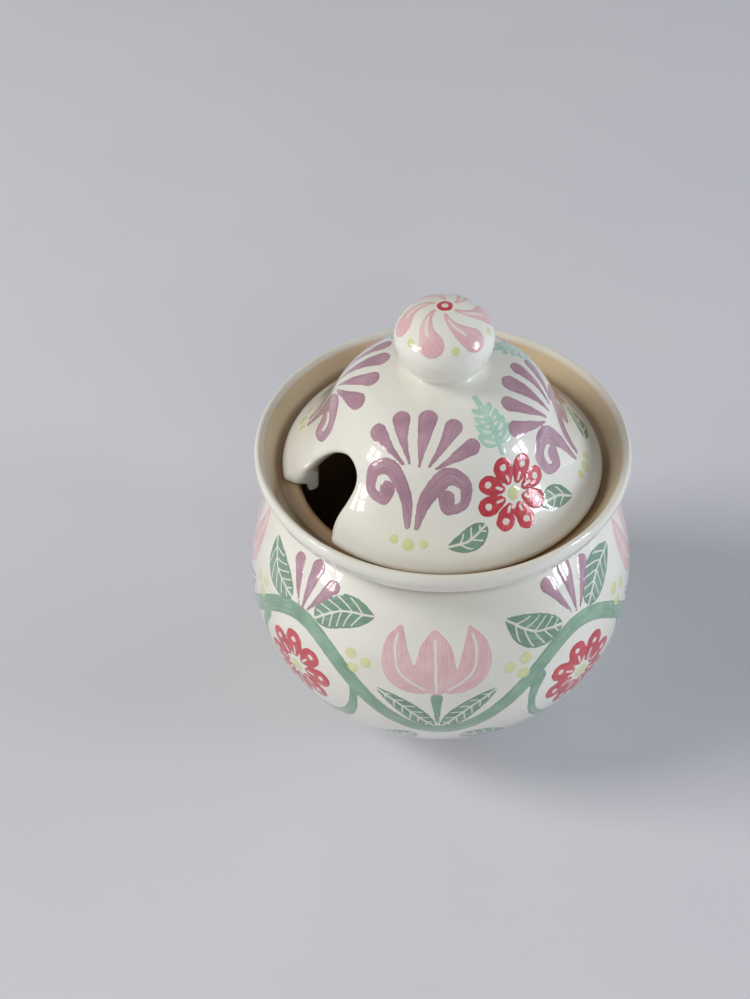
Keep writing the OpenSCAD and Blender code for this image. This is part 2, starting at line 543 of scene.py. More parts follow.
    @staticmethod
    def tendril(radius: float, sweep: float) -> list[Stroke]:
        """A sage tendril that curls round the motif's middle.

        Args:
            radius: where it begins, to the right of the middle.
            sweep: degrees that it turns, clockwise.

        Returns:
            Its strokes.
        """
        angles = np.linspace(0, sweep, 14)
        points = tuple(tuple((radius - 0.012 * a) * Curve.heading(20 - a)) for a in angles)
        return [Stroke(Paint.VINE, points, 2.2, Tip.SCROLL)]


class NodeBoard:
    """A node tree with short ways to add nodes and join them."""

    def __init__(self, owner: bpy.types.Material | bpy.types.World) -> None:
        """Takes a node tree and empties it.

        Args:
            owner: the material or world that it belongs to.
        """
        owner.use_nodes = True
        self.tree = owner.node_tree
        self.tree.nodes.clear()

    @cached_property
    def where(self) -> Socket:
        """Object coordinates."""
        return self.add("ShaderNodeTexCoord").outputs["Object"]

    def add(self, kind: str, **settings: object) -> bpy.types.Node:
        """Adds a node.

        Args:
            kind: its type.
            settings: values of its properties.

        Returns:
            The node.
        """
        node = self.tree.nodes.new(kind)
        for name, value in settings.items():
            setattr(node, name, value)
        return node

    def feed(self, node: bpy.types.Node, values: dict[int | str, object]) -> bpy.types.Node:
        """Joins a node's inputs to outputs, or sets their values.

        Args:
            node: the node.
            values: an output or a value for each input, by its name or number.

        Returns:
            The same node.
        """
        for key, source in values.items():
            if isinstance(source, Socket):
                self.tree.links.new(source, node.inputs[key])
            else:
                node.inputs[key].default_value = source
        return node

    def finish(self, kind: str, shader: bpy.types.Node) -> None:
        """Joins a shader to a new output node of the tree."""
        self.feed(self.add(kind), {"Surface": shader.outputs[0]})

    def attribute(self, name: str, output: str = "Fac") -> Socket:
        """What the mesh keeps under a name."""
        return self.add("ShaderNodeAttribute", attribute_name=name).outputs[output]

    def parts(self, vector: Socket) -> bpy.types.bpy_prop_collection:
        """The three numbers of a vector."""
        return self.feed(self.add("ShaderNodeSeparateXYZ"), {0: vector}).outputs

    def math(self, operation: str, *values: object) -> Socket:
        """The result of an operation on one or two outputs or numbers."""
        return self.feed(self.add("ShaderNodeMath", operation=operation), dict(enumerate(values))).outputs[0]

    def times(self, first: object, second: object) -> Socket:
        """The product of two outputs or numbers."""
        return self.math("MULTIPLY", first, second)

    def plus(self, first: object, second: object) -> Socket:
        """The sum of two outputs or numbers."""
        return self.math("ADD", first, second)

    def ramp(
        self, value: Socket, low: float, high: float, to_low: float = 0.0, to_high: float = 1.0
    ) -> Socket:
        """A soft step from one value to another.

        Args:
            value: what is looked at.
            low, high: where the step begins and ends.
            to_low, to_high: what it gives there.

        Returns:
            The result.
        """
        node = self.add("ShaderNodeMapRange", interpolation_type="SMOOTHSTEP")
        return self.feed(node, dict(enumerate((value, low, high, to_low, to_high)))).outputs[0]

    def mix(self, share: Socket, first: object, second: object) -> Socket:
        """A mix of two colours, with the share of the second."""
        node = self.add("ShaderNodeMix", data_type="RGBA")
        return self.feed(node, {0: share, 6: first, 7: second}).outputs[2]

    def noise(self, scale: float, detail: float = 2.0, vector: Socket | None = None) -> Socket:
        """Soft random values.

        Args:
            scale: patches to a unit of the vector.
            detail: finer layers.
            vector: where, if not by Object coordinates.

        Returns:
            Values about 0.5.
        """
        place = self.where if vector is None else vector
        values = {"Vector": place, "Scale": scale, "Detail": detail}
        return self.feed(self.add("ShaderNodeTexNoise"), values).outputs[0]

    def shake(self, scale: float, detail: float, size: float) -> Socket:
        """Soft random values about 0, with a size."""
        return self.times(self.math("SUBTRACT", self.noise(scale, detail), 0.5), size)


@dataclass(frozen=True)
class PaintFinish:
    """How one paint looks under the glaze."""

    paint: Paint
    colour: Colour
    deep: Colour
    cover: float
    lines: bool = False
    veins: bool = False
    dots: bool = False
    grit: float = 0.0


@dataclass(frozen=True)
class Brush:
    """Marks that the brush leaves in a stroke. Sizes in millimetres, pairs from full to none."""

    soft_edge: float = 0.07
    streak_run: float = 0.16
    streak_pitch: float = 2.1
    streak_drift: float = 6.0
    streak_share: float = 0.55
    thinning: float = 0.14
    pool: tuple[float, float] = (0.05, 0.55)
    pool_share: float = 0.55
    line: tuple[float, float] = (0.26, 0.42)
    midrib: tuple[float, float] = (0.24, 0.40)
    vein: tuple[float, float] = (0.20, 0.36)
    vein_slant: float = -0.9
    vein_pitch: float = 1.5
    dot: tuple[float, float] = (0.55, 0.95)
    line_shake: float = 0.5
    bared: float = 0.9
    height: float = 0.045
    bared_height: float = 0.05


@dataclass(frozen=True)
class Glaze:
    """Cream glaze over brush strokes, glossy, with a few iron specks and a bare foot ring."""

    name: str
    cream: Colour = srgb(220, 218, 207)
    pale: Colour = srgb(227, 226, 217)
    thin: Colour = srgb(206, 190, 160)
    # Tan inside the rim and under the lid, partly thin glaze and partly painted shade.
    tan: Colour = srgb(208, 187, 153)
    # Painted shade: the dark line just under the rim band.
    groove_shade: Colour = srgb(140, 132, 114)
    # Painted shade deep inside the pot and on the lid's underside.
    deep_shade: Colour = srgb(150, 118, 84)
    speck: Colour = srgb(92, 70, 52)
    clay: Colour = srgb(188, 172, 150)
    thin_share: float = 0.35
    groove_shade_share: float = 0.85
    deep_shade_share: float = 0.85
    speck_share: float = 0.75
    speck_size: float = 0.026
    foot: float = 0.75
    foot_fade: float = 0.35
    wobble: float = 0.55
    ripple: float = 0.16
    grain: float = 0.006
    roughness: float = 0.30
    clay_roughness: float = 0.85
    coat_roughness: float = 0.045
    specular: float = 0.35
    brush: Brush = Brush()
    paints: tuple[PaintFinish, ...] = (
        PaintFinish(Paint.VINE, srgb(128, 166, 140), srgb(104, 143, 119), 0.95),
        PaintFinish(Paint.FROND, srgb(168, 207, 190), srgb(145, 190, 171), 0.88, lines=True),
        PaintFinish(Paint.LEAF, srgb(116, 153, 129), srgb(94, 131, 109), 0.96, veins=True),
        PaintFinish(Paint.SCROLL, srgb(173, 132, 149), srgb(150, 108, 128), 0.93),
        PaintFinish(Paint.BLOOM, srgb(224, 182, 184), srgb(210, 158, 163), 0.86, lines=True, grit=0.05),
        PaintFinish(
            Paint.BERRY, srgb(203, 44, 64), srgb(172, 24, 46), 0.97, lines=True, dots=True, grit=0.07
        ),
        PaintFinish(Paint.SPARK, srgb(214, 216, 158), srgb(200, 203, 134), 0.85),
    )

    def make(self) -> bpy.types.Material:
        """The glaze as a material.

        Returns:
            The new material.
        """
        material = bpy.data.materials.new(self.name)
        board = NodeBoard(material)
        colour, height = self.ground(board), 0.0
        wobble = board.shake(700.0, 3.0, self.wobble)
        for finish in self.paints:
            colour, height = self.painted(board, finish, wobble, colour, height)
        colour = board.mix(self.specks(board), colour, self.speck)
        level = board.times(board.parts(board.where)[2], 1 / MM)
        bare = board.ramp(level, self.foot, self.foot + self.foot_fade, 1.0, 0.0)
        height = board.plus(height, board.times(board.noise(55.0), self.ripple))
        height = board.plus(height, board.times(board.noise(520.0), self.grain))
        bump = board.feed(board.add("ShaderNodeBump"), {"Strength": 1.0, "Distance": MM, "Height": height})
        shader = board.feed(
            board.add("ShaderNodeBsdfPrincipled"),
            {
                "Base Color": board.mix(bare, colour, self.clay),
                "Roughness": board.ramp(bare, 0.0, 1.0, self.roughness, self.clay_roughness),
                "Coat Weight": board.ramp(bare, 0.0, 1.0, 1.0, 0.0),
                "Coat Roughness": self.coat_roughness,
                "Specular IOR Level": self.specular,
                "Normal": bump.outputs[0],
                "Coat Normal": bump.outputs[0],
            },
        )
        board.finish("ShaderNodeOutputMaterial", shader)
        return material

    def ground(self, board: NodeBoard) -> Socket:
        """The glaze without paint: thin at edges, with a painted shade line under the rim band, and tan
        inside that darkens to painted shade.

        Args:
            board: the node tree.

        Returns:
            The colour.
        """
        cloud = board.noise(38.0, 3.0)
        colour = board.mix(board.ramp(cloud, 0.35, 0.65), self.cream, self.pale)
        thin = board.ramp(board.attribute("edge"), 0.1, 1.0, 0.0, self.thin_share)
        colour = board.mix(thin, colour, self.thin)
        # Painted shade: a dark line under the rim band, where shade falls.
        colour = board.mix(board.times(board.attribute("pool"), self.groove_shade_share), colour, self.groove_shade)
        # Tan inside, partly thin glaze and partly painted shade, then darker painted shade deep inside.
        inner = board.times(board.attribute("inner"), board.ramp(cloud, 0.0, 1.0, 0.75, 1.25))
        colour = board.mix(board.ramp(inner, 0.0, 0.18), colour, self.tan)
        return board.mix(board.ramp(inner, 0.65, 1.0, 0.0, self.deep_shade_share), colour, self.deep_shade)

    def specks(self, board: NodeBoard) -> Socket:
        """A few small iron specks.

        Args:
            board: the node tree.

        Returns:
            The cover on a speck, 0 beside it.
        """
        cells = board.feed(board.add("ShaderNodeTexVoronoi"), {"Vector": board.where, "Scale": 85.0})
        split = board.feed(board.add("ShaderNodeSeparateColor"), {0: cells.outputs["Color"]})
        size = board.ramp(split.outputs[0], 0.80, 1.0, 0.0, self.speck_size)
        return board.times(board.math("LESS_THAN", cells.outputs["Distance"], size), self.speck_share)

    def painted(
        self, board: NodeBoard, finish: PaintFinish, wobble: Socket, under: Socket, height: object
    ) -> tuple[Socket, Socket]:
        """Adds one paint over what is already there.

        Args:
            board: the node tree.
            finish: the paint.
            wobble: small unevenness of the stroke's edges, in millimetres.
            under: the colour below.
            height: the relief below, in millimetres.

        Returns:
            The new colour and relief.
        """
        brush = self.brush
        to_tip, aside, depth = board.parts(board.attribute(finish.paint.value, "Vector"))
        depth = board.plus(depth, wobble)
        inside = board.ramp(depth, -brush.soft_edge, brush.soft_edge)
        drift = board.times(board.noise(60.0, 1.0), brush.streak_drift)
        across = board.plus(board.times(aside, brush.streak_pitch), drift)
        bristles = board.add("ShaderNodeCombineXYZ")
        board.feed(bristles, {0: board.times(to_tip, brush.streak_run), 1: across})
        streak = board.times(board.noise(1.0, 2.0, bristles.outputs[0]), brush.streak_share)
        load = board.plus(streak, board.times(board.noise(170.0), 1 - brush.streak_share))
        body = board.mix(board.ramp(load, 0.38, 0.66), finish.colour, finish.deep)
        body = board.mix(board.ramp(depth, *brush.pool, brush.pool_share, 0.0), body, finish.deep)
        cover = board.times(inside, board.ramp(load, 0.25, 0.5, finish.cover - brush.thinning, finish.cover))
        reserve = self.reserve(board, finish, to_tip, aside, depth)
        share = board.times(cover, board.math("SUBTRACT", 1.0, board.times(reserve, brush.bared)))
        height = board.math("MAXIMUM", height, board.ramp(depth, -0.15, 0.45, 0.0, brush.height))
        height = board.plus(height, board.times(board.times(reserve, inside), brush.bared_height))
        if finish.grit:
            crust = board.times(board.noise(1100.0), finish.grit)
            height = board.plus(height, board.times(crust, inside))
        return board.mix(share, under, body), height

    def reserve(
        self, board: NodeBoard, finish: PaintFinish, to_tip: Socket, aside: Socket, depth: Socket
    ) -> object:
        """The fine lines and dots that a stroke leaves bare.

        Args:
            board: the node tree.
            finish: the paint.
            to_tip: distance from the stroke's tip.
            aside: distance from its middle line.
            depth: depth inside its edge.

        Returns:
            1 where the stroke is bare, 0 elsewhere.
        """
        brush = self.brush
        bare: object = 0.0
        if not (finish.lines or finish.veins or finish.dots):
            return bare
        shake = board.shake(420.0, 2.0, brush.line_shake)
        centred = board.math("ABSOLUTE", board.plus(aside, shake))
        if finish.lines:
            fade = board.times(board.ramp(to_tip, 1.9, 2.7), board.ramp(depth, 0.5, 0.8))
            bare = board.times(board.ramp(centred, *brush.line, 1.0, 0.0), fade)
        if finish.veins:
            slant = board.plus(to_tip, board.times(board.math("ABSOLUTE", aside), brush.vein_slant))
            comb = board.math("PINGPONG", board.plus(slant, shake), brush.vein_pitch)
            veins = board.times(board.ramp(comb, *brush.vein, 1.0, 0.0), board.ramp(depth, 0.35, 0.7))
            bare = board.math("MAXIMUM", board.ramp(centred, *brush.midrib, 1.0, 0.0), veins)
        if finish.dots:
            off = board.plus(board.math("POWER", centred, 2.0), board.math("POWER", to_tip, 2.0))
            bare = board.math("MAXIMUM", bare, board.ramp(off, *brush.dot, 1.0, 0.0))
        return bare


class Mesher:
    """Makes and finishes the meshes of the pieces."""

    EDGE_BEND = 0.5
    EDGE_ROUNDS = 4

    @staticmethod
    def turned(name: str, outline: np.ndarray, steps: int) -> bpy.types.Object:
        """Turns an outline round the axis.

        Args:
            name: the piece's name.
            outline: (radius, height) points in millimetres.
            steps: number of steps round the axis.

        Returns:
            The new object.
        """
        bm = bmesh.new()
        points = [bm.verts.new((radius * MM, 0.0, height * MM)) for radius, height in outline]
        geom = points + [bm.edges.new(pair) for pair in zip(points, points[1:])]
        bmesh.ops.spin(
            bm, geom=geom, cent=(0, 0, 0), axis=(0, 0, 1), angle=FULL_TURN, steps=steps, use_merge=True
        )
        bmesh.ops.remove_doubles(bm, verts=bm.verts, dist=TINY)
        bmesh.ops.recalc_face_normals(bm, faces=bm.faces)
        return Mesher.shown(name, bm)

    @staticmethod
    def shown(name: str, bm: bmesh.types.BMesh) -> bpy.types.Object:
        """Makes a smoothly shaded object of a bmesh, and frees the bmesh.

        Args:
            name: the object's name.
            bm: the bmesh.

        Returns:
            The new object.
        """
        mesh = bpy.data.meshes.new(name)
        bm.to_mesh(mesh)
        bm.free()
        mesh.shade_smooth()
        piece = bpy.data.objects.new(name, mesh)
        bpy.context.scene.collection.objects.link(piece)
        return piece

    @staticmethod
    def read(
        source: bpy.types.bpy_prop_collection, name: str, width: int, kind: type = np.float32
    ) -> np.ndarray:
        """Reads a value of each item of a mesh.

        Args:
            source: the mesh's items.
            name: the value's name.
            width: how many numbers it has.
            kind: their type.

        Returns:
            A row of numbers for each item.
        """
        flat = np.zeros(len(source) * width, kind)
        source.foreach_get(name, flat)
        return flat.reshape(-1, width)

    @staticmethod
    def points(mesh: bpy.types.Mesh) -> np.ndarray:
        """The mesh's points in millimetres."""
        return Mesher.read(mesh.vertices, "co", 3, np.float64) / MM

    @staticmethod
    def move(mesh: bpy.types.Mesh, points: np.ndarray) -> None:
        """Sets the mesh's points, given in millimetres."""
        mesh.vertices.foreach_set("co", (points * MM).ravel())
        mesh.update()

    @staticmethod
    def mark(mesh: bpy.types.Mesh, name: str, values: np.ndarray) -> None:
        """Keeps one number for each point of the mesh."""
        kept = mesh.attributes.new(name, "FLOAT", "POINT")
        kept.data.foreach_set("value", values.astype(np.float32))

    @staticmethod
    def mark_edges(mesh: bpy.types.Mesh) -> None:
        """Keeps how sharply the surface turns outwards, for the glaze that runs thin there.

        Args:
            mesh: the mesh.
        """
        points = Mesher.points(mesh)
        facing = Mesher.read(mesh.vertex_normals, "vector", 3)
        first, second = Mesher.read(mesh.edges, "vertices", 2, np.int32).T
        way = points[second] - points[first]
        size = (way**2).sum(axis=1)
        bend, count = np.zeros(len(points)), np.zeros(len(points))
        for here, sign in ((first, -1), (second, 1)):
            np.add.at(bend, here, sign * (way * facing[here]).sum(axis=1) / size)
            np.add.at(count, here, 1)
        bend /= np.maximum(count, 1)
        for _ in range(Mesher.EDGE_ROUNDS):
            total = bend.copy()
            np.add.at(total, first, bend[second])
            np.add.at(total, second, bend[first])
            bend = total / (count + 1)
        Mesher.mark(mesh, "edge", np.clip(bend / Mesher.EDGE_BEND, 0, 1))


@dataclass
class Pot:
    """The round-bellied pot with its foot ring and flared rim. Sizes in millimetres."""

    belly_r: float = 54.0
    belly_z: float = 43.0
    height: float = 89.8
    wall: float = 4.5
    floor_z: float = 6.0
    hollow_fullness: float = 2.35
    foot_r: float = 27.0
    foot_h: float = 3.0
    foot_w: float = 4.0
    foot_recess: float = 2.0
    recess_lean: float = 1.0
    foot_round: float = 0.8
    crest_r: float = 49.0
    crest_round: float = 1.0
    crest_drop: float = 2.4
    band_r: float = 47.8
    band_h: float = 6.6
    band_round: float = 1.2
    band_lean: float = 1.0
    funnel_r: float = 44.6
    funnel_flare: float = 3.4
    seat_depth: float = 7.2
    seat_round: float = 2.0
    under_slope: float = 30.0
    shoulder_r: float = 43.6
    neck_h: float = 15.6
    bore_r: float = 38.5
    bore_round: float = 1.4
    # Height and spread of the painted shade line under the rim band.
    groove_z: float = 77.2
    groove_h: float = 1.4
    inner_start: float = 0.7
    inner_end: float = 6.7
    oval: float = 0.0011
    waver: float = 0.0007
    repeats: int = 4
    first_crest: float = 282.0
    wave_level: float = 54.0
    wave_height: float = 13.5
    vine_half: float = 2.4
    vine_reach: float = 0.53
    steps: int = 432
    foot_step: float = 1.4
    skin_step: float = 0.68
    rim_step: float = 0.4
    mouth_step: float = 0.8
    hollow_step: float = 4.0

    def lean(self) -> float:
        """Where the belly's ellipse ends at the shoulder, in radians above its middle."""
        return math.acos(self.shoulder_r / self.belly_r)

    def rise(self) -> float:
        """Upper half axis of the belly's ellipse."""
        return (self.height - self.neck_h - self.belly_z) / math.sin(self.lean())

    def outside(self) -> np.ndarray:
        """The outer curve.

        Returns:
            Its points, from the foot ring over the rim's crest to the top of the funnel.
        """
        crest_z = self.height - self.crest_round
        band_z = self.height - self.band_h + self.band_round
        lean, up = self.lean(), self.rise()
        low_lean = math.acos(self.foot_r / self.belly_r)
        low = (self.belly_z - self.foot_h) / math.sin(low_lean)
        shoulder = np.array((self.shoulder_r, self.height - self.neck_h))
        climb = np.array((-self.belly_r * math.sin(lean), up * math.cos(lean)))
        climb /= np.linalg.norm(climb)
        under = Curve.heading(self.under_slope)
        band_foot = np.array((self.band_r, band_z)) + self.band_round * Curve.heading(self.under_slope - 90)
        reach = (band_foot[1] - shoulder[1]) / 2
        tilt = math.degrees(math.atan2(self.band_lean, crest_z - band_z))
        bead = Curve.arc((0.0, 0.0), 1.0, -tilt, 90, 16) * (self.crest_round, self.crest_drop)
        parts = (
            Curve.bow(self.belly_z, self.belly_r, low, -math.degrees(low_lean), 0),
            Curve.bow(self.belly_z, self.belly_r, up, 0, math.degrees(lean))[1:],
            Curve.blend(shoulder, shoulder + reach * climb, band_foot - reach * under, band_foot)[1:-1],
            Curve.arc((self.band_r, band_z), self.band_round, self.under_slope - 90, -tilt),
            bead + (self.crest_r, self.height - self.crest_drop),
            Curve.arc((self.crest_r, crest_z), self.crest_round, 90, 180 - self.funnel_tilt())[1:],
        )
        return np.vstack(parts)

    def funnel_tilt(self) -> float:
        """Lean of the funnel inside the rim, in degrees."""
        fall = self.seat_depth - self.crest_round - self.seat_round
        return math.degrees(math.atan2(self.funnel_flare, fall))

    def mouth(self) -> np.ndarray:
        """The seat for the lid.

        Returns:
            Points from the foot of the funnel to the edge of the opening.
        """
        seat_z = self.height - self.seat_depth
        seat = (self.funnel_r - self.seat_round, seat_z + self.seat_round)
        lip = (self.bore_r + self.bore_round, seat_z - self.bore_round)
        parts = (
            Curve.arc(seat, self.seat_round, -self.funnel_tilt(), -90, 8),
            Curve.arc(lip, self.bore_round, 90, 180, 8),
        )
        return np.vstack(parts)

    def hollow(self) -> np.ndarray:
        """The curve inside the belly.

        Returns:
            Its points, from under the opening to the middle of the floor.
        """
        radius, depth = self.belly_r - self.wall, self.belly_z - self.floor_z
        mouth = math.degrees(math.acos(self.bore_r / radius))
        parts = (
            Curve.bow(self.belly_z, radius, self.rise() - self.wall, mouth, 0),
            Curve.bow(self.belly_z, radius, depth, 0, -90, self.hollow_fullness)[1:],
        )
        return np.vstack(parts)

    def underside(self) -> np.ndarray:
        """The foot ring and the recess inside it.

        Returns:
            Points from the middle of the underside to the foot of the belly.
        """
        ring = self.foot_r - self.foot_w
        parts = (
            np.array(((0.0, self.foot_recess), (ring - self.recess_lean, self.foot_recess))),
            Curve.arc((ring + self.foot_round, self.foot_round), self.foot_round, 180, 270, 5),
            Curve.arc((self.foot_r - self.foot_round, self.foot_round), self.foot_round, 270, 360, 5),
        )
        return np.vstack(parts)

    def build(self) -> bpy.types.Object:
        """Turns the pot, a little out of round as a thrown pot is.

        Returns:
            The pot's object.
        """
        outer = self.outside()
        band = int(np.argmax(outer[:, 1] > self.height - self.band_h))
        rim = Curve.even(outer[band:], self.rim_step)
        parts = (
            Curve.even(self.underside(), self.foot_step),
            Curve.even(outer[: band + 1], self.skin_step),
            rim[1:],
            Curve.even(np.vstack((rim[-1], self.mouth())), self.mouth_step)[1:],
            Curve.even(self.hollow(), self.hollow_step),
        )
        outline = np.vstack(parts)
        outline[-1][0] = 0.0
        pot = Mesher.turned("pot_body", outline, self.steps)
        points = Mesher.points(pot.data)
        around = np.arctan2(points[:, 1], points[:, 0])
        waver = np.sin(3 * around + points[:, 2] / 17 + 1.9)
        sway = self.oval * np.sin(2 * around + 0.6) + self.waver * waver
        points[:, :2] *= (1 + sway)[:, None]
        Mesher.move(pot.data, points)
        Mesher.mark_edges(pot.data)
        # Tan and painted shade inside the rim, darker towards the seat.
        inner = self.innerness(points)
        Mesher.mark(pot.data, "inner", inner)
        # Painted shade: a dark band on the outside just under the rim band.
        pool = np.exp(-(((points[:, 2] - self.groove_z) / self.groove_h) ** 2))
        outer_side = (inner == 0) & (np.hypot(points[:, 0], points[:, 1]) > self.bore_r)
        Mesher.mark(pot.data, "pool", pool * outer_side)
        return pot

    def innerness(self, points: np.ndarray) -> np.ndarray:
        """How far inside the rim points lie, for a tan tint that is partly thin glaze and partly painted
        shade, darkening deeper in as painted shade.

        Args:
            points: the pot's points.

        Returns:
            0 outside and on the crest, 1 on the seat and under it.
        """
        skin = self.outside()
        skin = skin[: skin[:, 1].argmax() + 1]
        radius = np.hypot(points[:, 0], points[:, 1])
        inside = radius < np.interp(points[:, 2], skin[:, 1], skin[:, 0]) - self.crest_round
        inside &= points[:, 2] > self.floor_z / 2
        below = self.height - self.inner_start - points[:, 2]
        return inside * np.clip(below / (self.inner_end - self.inner_start), 0, 1)

    def decorate(self, pot: bpy.types.Object) -> None:
        """Paints a running vine with flowers in its bends round the belly.

        Args:
            pot: the pot's object.
        """
        painter = Painter(pot.data, Chart(Curve.even(self.outside(), CHART_STEP), up=1), seed=11)
        level, pitch = self.wave_level, 360 / self.repeats
        for i in range(self.repeats):
            crest = self.first_crest + pitch * i
            dip = crest + pitch / 2
            self.wave(painter, crest, pitch)
            painter.motif(Motifs.tendril(19.5, 235), Spot(crest, level - 4.5, 8))
            painter.motif(Motifs.rosette(12.4), Spot(crest, level - 4.5, 8))
            painter.motif(Motifs.tulip(7.6), Spot(dip, level + 10.5, 0, 1.8))
            for side in (-1, 1):
                painter.motif(Motifs.leaf(16.5, 4.7, 2.0), Spot(crest + side * 6, level + 16, 90 - side * 62))
                painter.motif(Motifs.leaf(15.5, 4.4, 2.0), Spot(dip + side * 8, level - 18, -90 + side * 52))
                painter.motif(Motifs.berries(2.7, 1.7), Spot(dip + side * 23.5, level + 9, side * 20))
            painter.motif(Motifs.fan(1.35), Spot(crest, level + 22.5))
            painter.motif(Motifs.frond(21), Spot(crest + 4, level - 46))
            painter.motif(Motifs.dots(3.2, 1.5), Spot(dip, level - 32, 10))
        painter.finish(PAINT_RELIEF)

    def wave(self, painter: Painter, crest: float, pitch: float) -> None:
        """Paints one wave of the vine, a little longer than the pitch.

        Args:
            painter: the pot's painter.
            crest: where the wave is highest, in degrees.
            pitch: degrees from wave to wave.
        """
        turn = np.linspace(-self.vine_reach, self.vine_reach, 320)
        arcs = self.wave_level + self.wave_height * np.cos(turn * FULL_TURN)
        painter.lay(Paint.VINE, np.radians(crest + turn * pitch), arcs, self.vine_half, Tip.EVEN)

    def dress(self, pot: bpy.types.Object, glaze: bpy.types.Material) -> None:
        """Glazes the pot and sets it in its place in the frame.

        Args:
            pot: the pot's object.
            glaze: its material.
        """
        pot.data.materials.append(glaze)
        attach(pot, "pot")
        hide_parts("pot")


@dataclass(frozen=True)
class NotchSide:
    """One side of the spoon notch, in millimetres.

    The reach is its distance from the middle, start_z the height where it begins to bend over, the power
    how fully it bends, and the lip its edge's rounding at the seat, half way up and at the top.
    """

    reach: float
    start_z: float
    power: float
    lip: Triple


@dataclass
class Lid:
    """The bell lid with its brim, locating collar and spoon notch. Sizes in millimetres."""

    seat_z: float = 82.6
    radius: float = 42.8
    brim_round: float = 0.9
    brim_crown: float = 2.0
    brim_turn: float = 30.0
    wall: float = 4.0
    crown_z: float = 115.4
    turn_r: float = 29.8
    turn_z: float = 100.8
    turn_slope: float = 66.0
    brim_slope: float = 38.0
    crown_pull: float = 19.0
    turn_pull: float = 9.0
    collar_r: float = 37.0
    collar_in: float = 33.6
    collar_h: float = 3.2
    collar_round: float = 1.4
    collar_root: float = 1.2
    collar_gap: float = 0.2
    far: NotchSide = NotchSide(9.8, 86.5, 1.45, (2.6, 3.2, 1.4))
    near: NotchSide = NotchSide(8.1, 93.0, 2.2, (2.4, 2.2, 1.4))
    apex_y: float = -2.4
    apex_z: float = 99.7
    lip_z: float = 90.1
    notch_start: float = 17.3
    notch_corner: float = 5.0
    corner_ease: float = 1.1
    least_slope: float = 1e-3
    inner_ease: float = 1.3
    profile_step: float = 0.35
    hollow_step: float = 0.4
    grain: float = 0.52
    steps: int = 240
    rounds: int = 4
    passes: int = 2
    smoothing: float = 0.5
    longest_move: float = 1.5
    repeats: int = 4

    def bell(self) -> np.ndarray:
        """The outer curve of the bell.

        Returns:
            Its points, from the middle of the crown to the top of the brim's edge.
        """
        turn, crown = np.array((self.turn_r, self.turn_z)), np.array((0.0, self.crown_z))
        brim = self.edge()[0]
        fall = self.turn_pull * Curve.heading(-self.turn_slope)
        rise = (brim[0] - self.turn_r) / 2 * Curve.heading(180 - self.brim_slope)
        parts = (
            Curve.blend(crown, crown + (self.crown_pull, 0.0), turn - fall, turn),
            Curve.blend(turn, turn + fall, brim + rise, brim)[1:],
        )
        return np.vstack(parts)

    def edge(self) -> np.ndarray:
        """The brim's edge, an easy curve over a small rounding.

        Returns:
            Its points, from the end of the bell down to the seat.
        """
        low = np.array((self.radius - self.brim_round, self.seat_z + self.brim_round))
        high = low + (self.brim_round - self.brim_crown) * Curve.heading(self.brim_turn)
        parts = (
            Curve.arc(high, self.brim_crown, 90 - self.brim_slope, self.brim_turn),
            Curve.arc(low, self.brim_round, self.brim_turn, -90)[1:],
        )
        return np.vstack(parts)

    def face(self) -> np.ndarray:
        """The outer face.

        Returns:
            Points of the bell and the brim's edge, and of a line below them with the collar on its inside.
        """
        edge = self.edge()
        below = edge[-1:] - (0.0, 2 * self.collar_h)
        return Curve.even(np.vstack((self.bell(), edge[1:], below)), self.profile_step)

    def lining(self) -> np.ndarray:
        """The rest of the profile.

        Returns:
            Points from the brim's edge along the seat, round the collar and up inside.
        """
        root = (self.collar_r + self.collar_root, self.seat_z - self.collar_root)
        foot = self.seat_z - self.collar_h + self.collar_round
        parts = (
            np.array(((self.radius - self.brim_round, self.seat_z),)),
            Curve.arc(root, self.collar_root, 90, 180, 6),
            Curve.arc((self.collar_r - self.collar_round, foot), self.collar_round, 0, -90, 8),
            Curve.arc((self.collar_in + self.collar_round, foot), self.collar_round, 270, 180, 8),
            self.hollow(),
        )
        return Curve.even(np.vstack(parts), self.profile_step)

    def hollow(self) -> np.ndarray:
        """The curve inside the bell.

        Returns:
            Its points, from the collar to the middle.
        """
        bell = Curve.even(self.bell(), self.hollow_step)
        way = np.gradient(bell, axis=0)
        inward = np.column_stack((way[:, 1], -way[:, 0])) / np.linalg.norm(way, axis=1)[:, None]
        path = bell + self.wall * inward
        path = path[path[:, 0] < self.collar_in - self.collar_gap][::-1]
        path[-1][0] = 0.0
        return path

    def arch(self) -> np.ndarray:
        """The notch's outline.

        Returns:
            (y, z) points, from the foot of the near side over the top to the foot of the far side.
        """
        turn = np.radians(np.linspace(0, 90, 40))
        sides = []
        for side, way in ((self.near, -1), (self.far, 1)):
            across, over = np.cos(turn) ** (2 / side.power), np.sin(turn) ** (2 / side.power)
            y = self.apex_y + (way * side.reach - self.apex_y) * across
            z = side.start_z + (self.apex_z - side.start_z) * over
            sides.append(np.vstack(((way * side.reach, self.seat_z - self.radius), np.column_stack((y, z)))))
        return np.vstack((sides[0], sides[1][-2::-1]))

    def lip(self, points: np.ndarray) -> np.ndarray:
        """How far the rounding of the notch's outer edge reaches, at the height and on the side of points.

        Args:
            points: points in space, in millimetres.

        Returns:
            Millimetres.
        """
        levels = (self.seat_z, self.lip_z, self.apex_z)
        far, near = (np.interp(points[:, 2], levels, side.lip) for side in (self.far, self.near))
        return np.where(points[:, 1] > self.apex_y, far, near)

